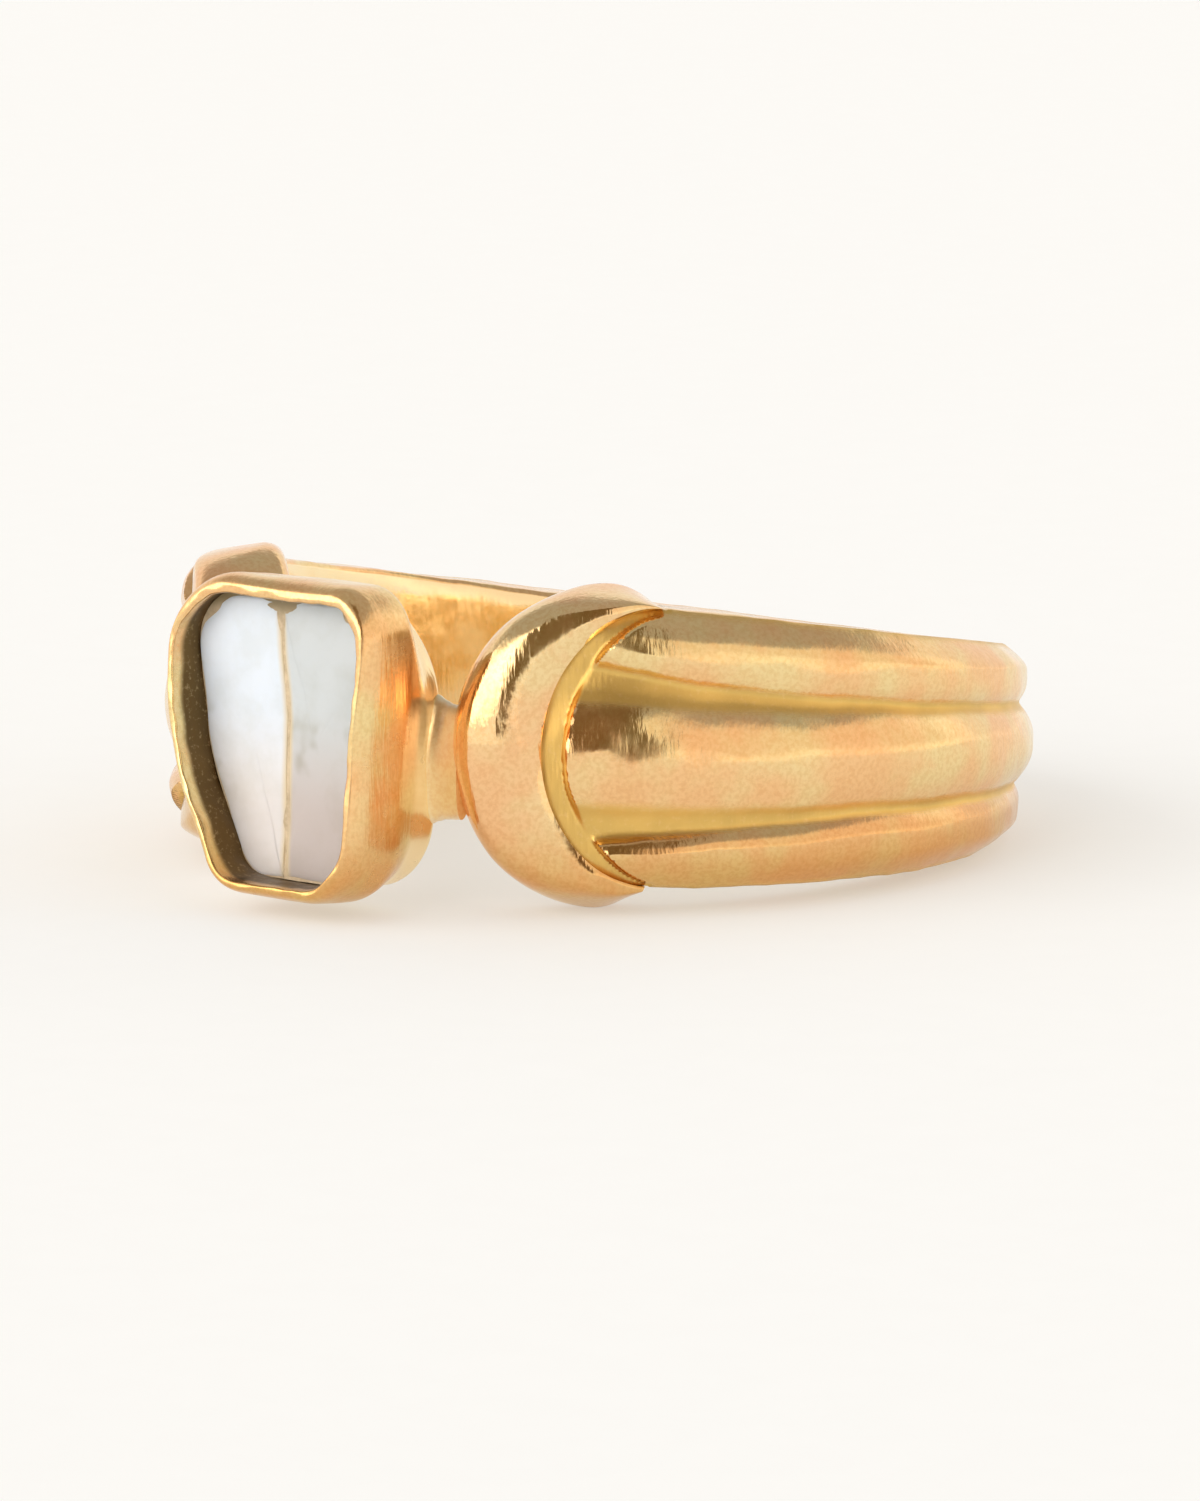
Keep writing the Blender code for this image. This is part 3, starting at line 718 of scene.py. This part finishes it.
class RING_OT_cup(bpy.types.Operator):
    """Model the keystone-shaped cup with its rim and hollow"""

    bl_idname = "milk_tooth_ring.cup"
    bl_label = "Cup"

    def execute(self, context):
        noise.seed_set(NOISE_SEED)
        levels = cup_levels()
        back, crease, rim = levels["back"], levels["crease"], levels["rim"]
        front_outline = rounded_outline(CUP_FRONT)
        back_outline = rounded_outline(CUP_BACK)
        narrow, wide = (rounded_outline(CUP_FRONT, size("rim_width") + change) for change in (-0.08, 0.1))
        mouth = [a.lerp(b, smooth_share((a.y - CUP_MOUTH_FROM) / CUP_MOUTH_RUN))
                 for a, b in zip(narrow, wide)]
        lip = blend(mouth, front_outline, 0.35)
        shoulder = rim - CUP_SHOULDER
        rings = [at_depth(rounded_outline(CUP_BACK, 0.5), back),
                 at_depth(rounded_outline(CUP_BACK, 0.1), back),
                 at_depth(rounded_outline(CUP_BACK, 0.02), back + 0.04),
                 at_depth(back_outline, back + CUP_BACK_ROUNDING)]
        # The flank swells from the back's outline to the front's, then come the wall and the round shoulder
        flank_start = back + CUP_BACK_ROUNDING
        flank_run = crease + CUP_FLANK_PAST_CREASE - back - CUP_BACK_ROUNDING
        flank_end = crease + CUP_FLANK_PAST_CREASE
        wall_run = shoulder - crease - CUP_FLANK_PAST_CREASE
        for step in range(1, 25):
            share = step / 24
            swell = smooth_share(share ** 1.5) * 0.8 + 0.19 * share
            groove = 0.05 * math.sin(math.pi * share) ** 2
            outline = blend(rounded_outline(CUP_BACK, groove), front_outline, swell)
            rings.append(at_depth(outline, flank_start + flank_run * share))
        for step in range(1, 15):
            share = step / 14
            swell = 0.99 + 0.02 * math.sin(math.pi * share) + 0.01 * share
            outline = blend(back_outline, front_outline, swell)
            rings.append(at_depth(outline, flank_end + wall_run * share))
        for step in range(1, 13):
            turn = math.pi / 2 * step / 12
            outline = blend(front_outline, lip, 1 - math.cos(turn))
            rings.append(at_depth(outline, shoulder + CUP_SHOULDER * math.sin(turn) ** 0.9))
        # The rim's flat top, and the hollow's wall down to the floor
        for share, down in ((0.3, 0.0), (0.6, 0.005), (0.8, 0.02), (0.93, 0.05), (1.0, 0.1)):
            rings.append(at_depth(blend(lip, mouth, share), rim - down))
        outside = len(rings)
        for step in range(1, 17):
            ahead = rim - 0.1 + (levels["floor"] + 0.1 - rim + 0.1) * step / 16
            rings.append(at_depth(blend(mouth, hollow_outline(ahead), min(step / 4, 1.0)), ahead))
        # The first rows, on the back and the flank next to it, are pale, and the rows of the hollow are low
        recess = []
        for row in range(len(rings)):
            mark = min(max(row - outside + 1, 0) / 2, 1.0) - smooth_share((PALE_ROWS - row) / PALE_FADE)
            recess.append([mark] * len(rings[0]))
        rough_from = outside - 6
        rings = [[nicked(worn(point, 0.03, 0.5), 0.035 if row > rough_from else 0.0, 2.2) for point in ring]
                 for row, ring in enumerate(rings)]
        cup = wrapped_grid("cup", closed_ends(rings), 38.0, repeated_ends(recess))
        colour = between(colours().gold, colours().gold_yellow, 0.3)
        # The hollow's dark brown is grime and painted shade
        material = gold_finish("cup_gold", colour, 0.19, 0.1, (0.17, 0.105, 0.04), 0.36)
        finish_piece(cup, material, "gold", "gold_ring")
        return {"FINISHED"}


class RING_OT_necks(bpy.types.Operator):
    """Model the two solder necks between the cup and the collars"""

    bl_idname = "milk_tooth_ring.necks"
    bl_label = "Solder Necks"

    def execute(self, context):
        material = gold_finish("solder_gold", tuple(colours().solder), 0.28, 0.1)
        start = size("cup_half_width") - NECK_INSIDE_CUP
        ahead = cup_levels()["back"] + 0.06
        for name, side in (("neck_right", 1), ("neck_left", -1)):
            rings = []
            for station in range(25):
                share = station / 24
                for before, after in zip(NECK_STATIONS, NECK_STATIONS[1:]):
                    if before[0] <= share <= after[0]:
                        part = smooth_share((share - before[0]) / (after[0] - before[0]))
                        depth = before[1] + (after[1] - before[1]) * part
                        height = before[2] + (after[2] - before[2]) * part
                ring = []
                for step in range(64):
                    turn = 2 * math.pi * step / 64
                    ring.append(place(ahead + NECK_HALF_DEPTH * depth * math.cos(turn),
                                      side * (start + NECK_RUN * share),
                                      NECK_HALF_HEIGHT * height * math.sin(turn) - NECK_LOWERED))
                rings.append([worn(point, 0.04, 0.5) for point in ring])
            finish_piece(wrapped_grid(name, closed_ends(rings)), material, "gold", "gold_ring")
        return {"FINISHED"}


def seam_line(offset):
    """The seam between the slabs, as a point and a direction in (aside, along), moved aside by offset."""
    width, height = size("cup_half_width"), size("cup_half_height")
    top = Vector((SEAM_TOP[0] * width, SEAM_TOP[1] * height))
    bottom = Vector((SEAM_BOTTOM[0] * width, SEAM_BOTTOM[1] * height))
    run = (bottom - top).normalized()
    return top + Vector((-run.y, run.x)) * offset, run


def slab_rings(side):
    """One slab's rings from its back to its face: the hollow's outline, cut off at the seam."""
    face = cup_levels()["face"]
    point, run = seam_line(SEAM_HALF * side)
    normal = Vector((-run.y, run.x)) * side
    outline = []
    for spot in hollow_outline(face, 0.02):
        by = SLAB_EDGE_LOWERED * smooth_share((spot.y - SLAB_EDGE_FROM) / SLAB_EDGE_RUN)
        lowered = spot - Vector((0.0, by))
        outline.append(lowered + normal * max(-(lowered - point).dot(normal), 0.0))
    middle = centre_of(outline)
    rings = []
    for share, down in SLAB_STEPS:
        ring = []
        for spot in outline:
            moved = middle.lerp(spot, share)
            ring.append(place(face - down + SLAB_TILT * max(moved.y, 0.0), moved.x, moved.y))
        rings.append(ring)
    return rings


class RING_OT_slabs(bpy.types.Operator):
    """Model the two tooth slabs side by side in the cup"""

    bl_idname = "milk_tooth_ring.slabs"
    bl_label = "Tooth Slabs"

    def execute(self, context):
        enamel, dentine = colours().enamel, colours().dentine
        for name, side, colour, low, slot, node in (
                ("tooth_slab_left", -1, enamel, (0.72, 0.7, 0.7), "tooth_enamel", "tooth_left"),
                ("tooth_slab_right", 1, dentine, (0.52, 0.47, 0.455), "tooth_dentine", "tooth_right")):
            rings = [[worn(point, 0.03, 0.7) for point in ring] for ring in slab_rings(side)]
            slab = wrapped_grid(name, closed_ends(rings), 60.0)
            finish_piece(slab, tooth_finish(name, colour, low, side), slot, node)
        return {"FINISHED"}


class RING_OT_cement(bpy.types.Operator):
    """Model the ochre cement that fills the seam and the edges"""

    bl_idname = "milk_tooth_ring.cement"
    bl_label = "Cement Bed"

    def execute(self, context):
        noise.seed_set(NOISE_SEED)
        levels = cup_levels()
        floor, face = levels["floor"] + 0.1, levels["face"] - CEMENT_BELOW_SLABS
        rings = []
        for step in range(7):
            ahead = floor + (face - floor) * step / 6
            rings.append([place(ahead + SLAB_TILT * max(spot.y, 0.0) * step / 6, spot.x, spot.y)
                          for spot in hollow_outline(ahead, CEMENT_FILL)])
        top = hollow_outline(face, CEMENT_FILL)
        middle = centre_of(top)
        for step in range(1, 12):
            ring = []
            for spot in top:
                moved = spot.lerp(middle, step / 12)
                ring.append(place(face + SLAB_TILT * max(moved.y, 0.0), moved.x, moved.y))
            rings.append(ring)
        rings = [[nicked(point, 0.018, 1.6) for point in ring] for ring in rings]
        bed = wrapped_grid("setting_cement_bed", closed_ends(rings))
        finish_piece(bed, cement_finish(), "setting_cement", "cement_bed")
        return {"FINISHED"}


def world_light():
    """A pale studio round the ring: bright panels at its sides, greyer above, and dark by the camera.

    Each wall is a window of direction: turn is the angle round the ring from the camera toward its right,
    up is the height, toward points at the camera and right to its right. A mask with mirrored in it counts
    for reflections alone.
    """
    world = bpy.data.worlds.new("pale_studio")
    bpy.context.scene.world = world
    world.use_nodes = True
    tree = world.node_tree
    link = tree.links.new
    background = tree.nodes["Background"]
    direction = add_node(tree, "ShaderNodeTexCoord")

    def measure(vector):
        """How far the direction points along a vector."""
        dot = add_node(tree, "ShaderNodeVectorMath", operation="DOT_PRODUCT")
        dot.inputs[1].default_value = vector
        link(direction.outputs["Generated"], dot.inputs[0])
        return dot.outputs["Value"]

    def both(first, second):
        """The product of two masks."""
        return worked(tree, "MULTIPLY", first, second)

    def window(value, start, stop, soft):
        """1 where a value lies between start and stop, with soft edges."""
        rise = ranged(tree, value, start - soft, start + soft)
        return both(rise, ranged(tree, value, stop + soft, stop - soft))

    azimuth = math.radians(CAMERA_AZIMUTH)
    toward = measure((math.sin(azimuth), -math.cos(azimuth), 0.0))
    right = measure((math.cos(azimuth), math.sin(azimuth), 0.0))
    up = measure((0.0, 0.0, 1.0))
    turn = worked(tree, "ARCTAN2", right, toward)

    def turned(start, stop, soft):
        """A window of the angle round the ring, in degrees."""
        return window(turn, math.radians(start), math.radians(stop), math.radians(soft))

    shade = mixed(tree, ranged(tree, up, 0.3, 0.75), (1.0, 0.975, 0.935), (0.66, 0.61, 0.56))
    left_box = both(turned(-100, -14, 2), window(up, 0.12, 0.75, 0.03))
    shade = mixed(tree, left_box, shade, (2.6, 2.4, 2.2))
    beside = turned(18, 110, 6)
    shade = mixed(tree, both(beside, window(up, -0.1, 0.6, 0.1)), shade, (1.10, 1.02, 0.90))
    far_right = both(turned(115, 165, 8), window(up, 0.06, 0.6, 0.05))
    shade = mixed(tree, far_right, shade, (1.45, 1.36, 1.22))
    tall = both(window(right, -0.2, 0.27, 0.02), window(up, 0.055, 0.96, 0.015))
    dark = both(tall, ranged(tree, toward, -0.05, 0.05))
    shade = mixed(tree, dark, shade, (0.17, 0.12, 0.06))
    seen = add_node(tree, "ShaderNodeLightPath")
    mirrored = seen.outputs["Is Glossy Ray"]
    grey_above = both(mirrored, ranged(tree, up, 0.35, 0.7))
    shade = mixed(tree, both(grey_above, worked(tree, "SUBTRACT", 1.0, dark)), shade, (0.4, 0.38, 0.36))
    wall_above = both(both(mirrored, beside), window(up, 0.12, 0.6, 0.08))
    shade = mixed(tree, wall_above, shade, (0.88, 0.76, 0.64))
    behind = both(ranged(tree, toward, -0.3, -0.6), window(up, 0.03, 0.5, 0.05))
    shade = mixed(tree, both(mirrored, behind), shade, (0.85, 0.81, 0.78))
    final = mixed(tree, seen.outputs["Is Camera Ray"], shade, (0.965, 0.94, 0.90))
    link(final, background.inputs["Color"])
    background.inputs["Strength"].default_value = 1.15


def camera_as_in_the_photograph():
    """A long lens at 40 degrees round the ring and 9 degrees above it, turned with the ring's own lean."""
    azimuth, elevation = math.radians(CAMERA_AZIMUTH), math.radians(CAMERA_ELEVATION)
    back = Vector((math.sin(azimuth) * math.cos(elevation), -math.cos(azimuth) * math.cos(elevation),
                   math.sin(elevation)))
    right = Vector((math.cos(azimuth), math.sin(azimuth), 0))
    up = back.cross(right)
    matrix = Matrix.Identity(4)
    for column, vector in enumerate((right, up, back, RING_PLACE + back * CAMERA_DISTANCE)):
        for row in range(3):
            matrix[row][column] = vector[row]
    extra = Matrix.Rotation(math.radians(CAMERA_LEAN) - RING_LEAN, 4, "X")
    camera = bpy.data.objects.new("camera", bpy.data.cameras.new("camera"))
    camera.matrix_world = Matrix.Translation(RING_PLACE) @ extra @ Matrix.Translation(-RING_PLACE) @ matrix
    camera.data.sensor_width = 36
    camera.data.lens = CAMERA_LENS
    camera.data.shift_x = CAMERA_SHIFT_X
    camera.data.shift_y = CAMERA_SHIFT_Y
    camera.data.clip_start = 0.005
    bpy.context.scene.collection.objects.link(camera)
    bpy.context.scene.camera = camera


class RING_OT_stage(bpy.types.Operator):
    """Make the pale floor, the soft studio light and the camera"""

    bl_idname = "milk_tooth_ring.stage"
    bl_label = "Stage"

    def execute(self, context):
        bpy.ops.object.select_all(action="DESELECT")
        bpy.ops.mesh.primitive_plane_add(size=6, location=(0, 0, 0))
        floor = bpy.context.object
        floor.name = "pale_floor"
        material, tree, shader = new_material("pale_paper")
        spot = add_node(tree, "ShaderNodeTexCoord").outputs["Object"]
        pale = tuple(colours().floor)
        soft = ranged(tree, noise_at(tree, spot, 700.0), 0.3, 0.7)
        tint = mixed(tree, soft, pale, tuple(part * 0.99 for part in pale))
        tree.links.new(tint, shader.inputs["Base Color"])
        # The floor glows a little, warm: painted light that lifts the shadows round the ring
        shader.inputs["Emission Color"].default_value = (1.0, 0.92, 0.83, 1)
        shader.inputs["Emission Strength"].default_value = 0.45
        material.cycles.emission_sampling = "NONE"
        shader.inputs["Roughness"].default_value = 0.9
        shader.inputs["Specular IOR Level"].default_value = 0.1
        floor.data.materials.append(material)
        world_light()
        camera_as_in_the_photograph()
        context.scene.view_settings.view_transform = "Standard"
        return {"FINISHED"}


class RING_PT_panel(bpy.types.Panel):
    """Sizes, colours and making steps of the ring"""

    bl_idname = "RING_PT_panel"
    bl_label = "Milk Tooth Ring"
    bl_space_type = "VIEW_3D"
    bl_region_type = "UI"
    bl_category = "Milk Tooth Ring"

    def draw(self, context):
        for group in (context.scene.ring_sizes, context.scene.ring_colours):
            box = self.layout.box()
            for name in group.__annotations__:
                box.prop(group, name)
        for operator in OPERATORS:
            self.layout.operator(operator.bl_idname)


GROUPS = (RingSizes, RingColours)
OPERATORS = (RING_OT_stage, RING_OT_band, RING_OT_collars, RING_OT_cup, RING_OT_necks, RING_OT_cement,
             RING_OT_slabs)


def register():
    """Register the classes and give the scene its sizes and colours."""
    for made in GROUPS + OPERATORS + (RING_PT_panel,):
        bpy.utils.register_class(made)
    bpy.types.Scene.ring_sizes = bpy.props.PointerProperty(type=RingSizes)
    bpy.types.Scene.ring_colours = bpy.props.PointerProperty(type=RingColours)


def unregister():
    """Undo what register did."""
    del bpy.types.Scene.ring_colours
    del bpy.types.Scene.ring_sizes
    for made in reversed(GROUPS + OPERATORS + (RING_PT_panel,)):
        bpy.utils.unregister_class(made)


def main():
    """Make everything."""
    register()
    bpy.ops.milk_tooth_ring.stage()
    bpy.ops.milk_tooth_ring.band()
    bpy.ops.milk_tooth_ring.collars()
    bpy.ops.milk_tooth_ring.cup()
    bpy.ops.milk_tooth_ring.necks()
    bpy.ops.milk_tooth_ring.cement()
    bpy.ops.milk_tooth_ring.slabs()


if __name__ == "__main__":
    main()
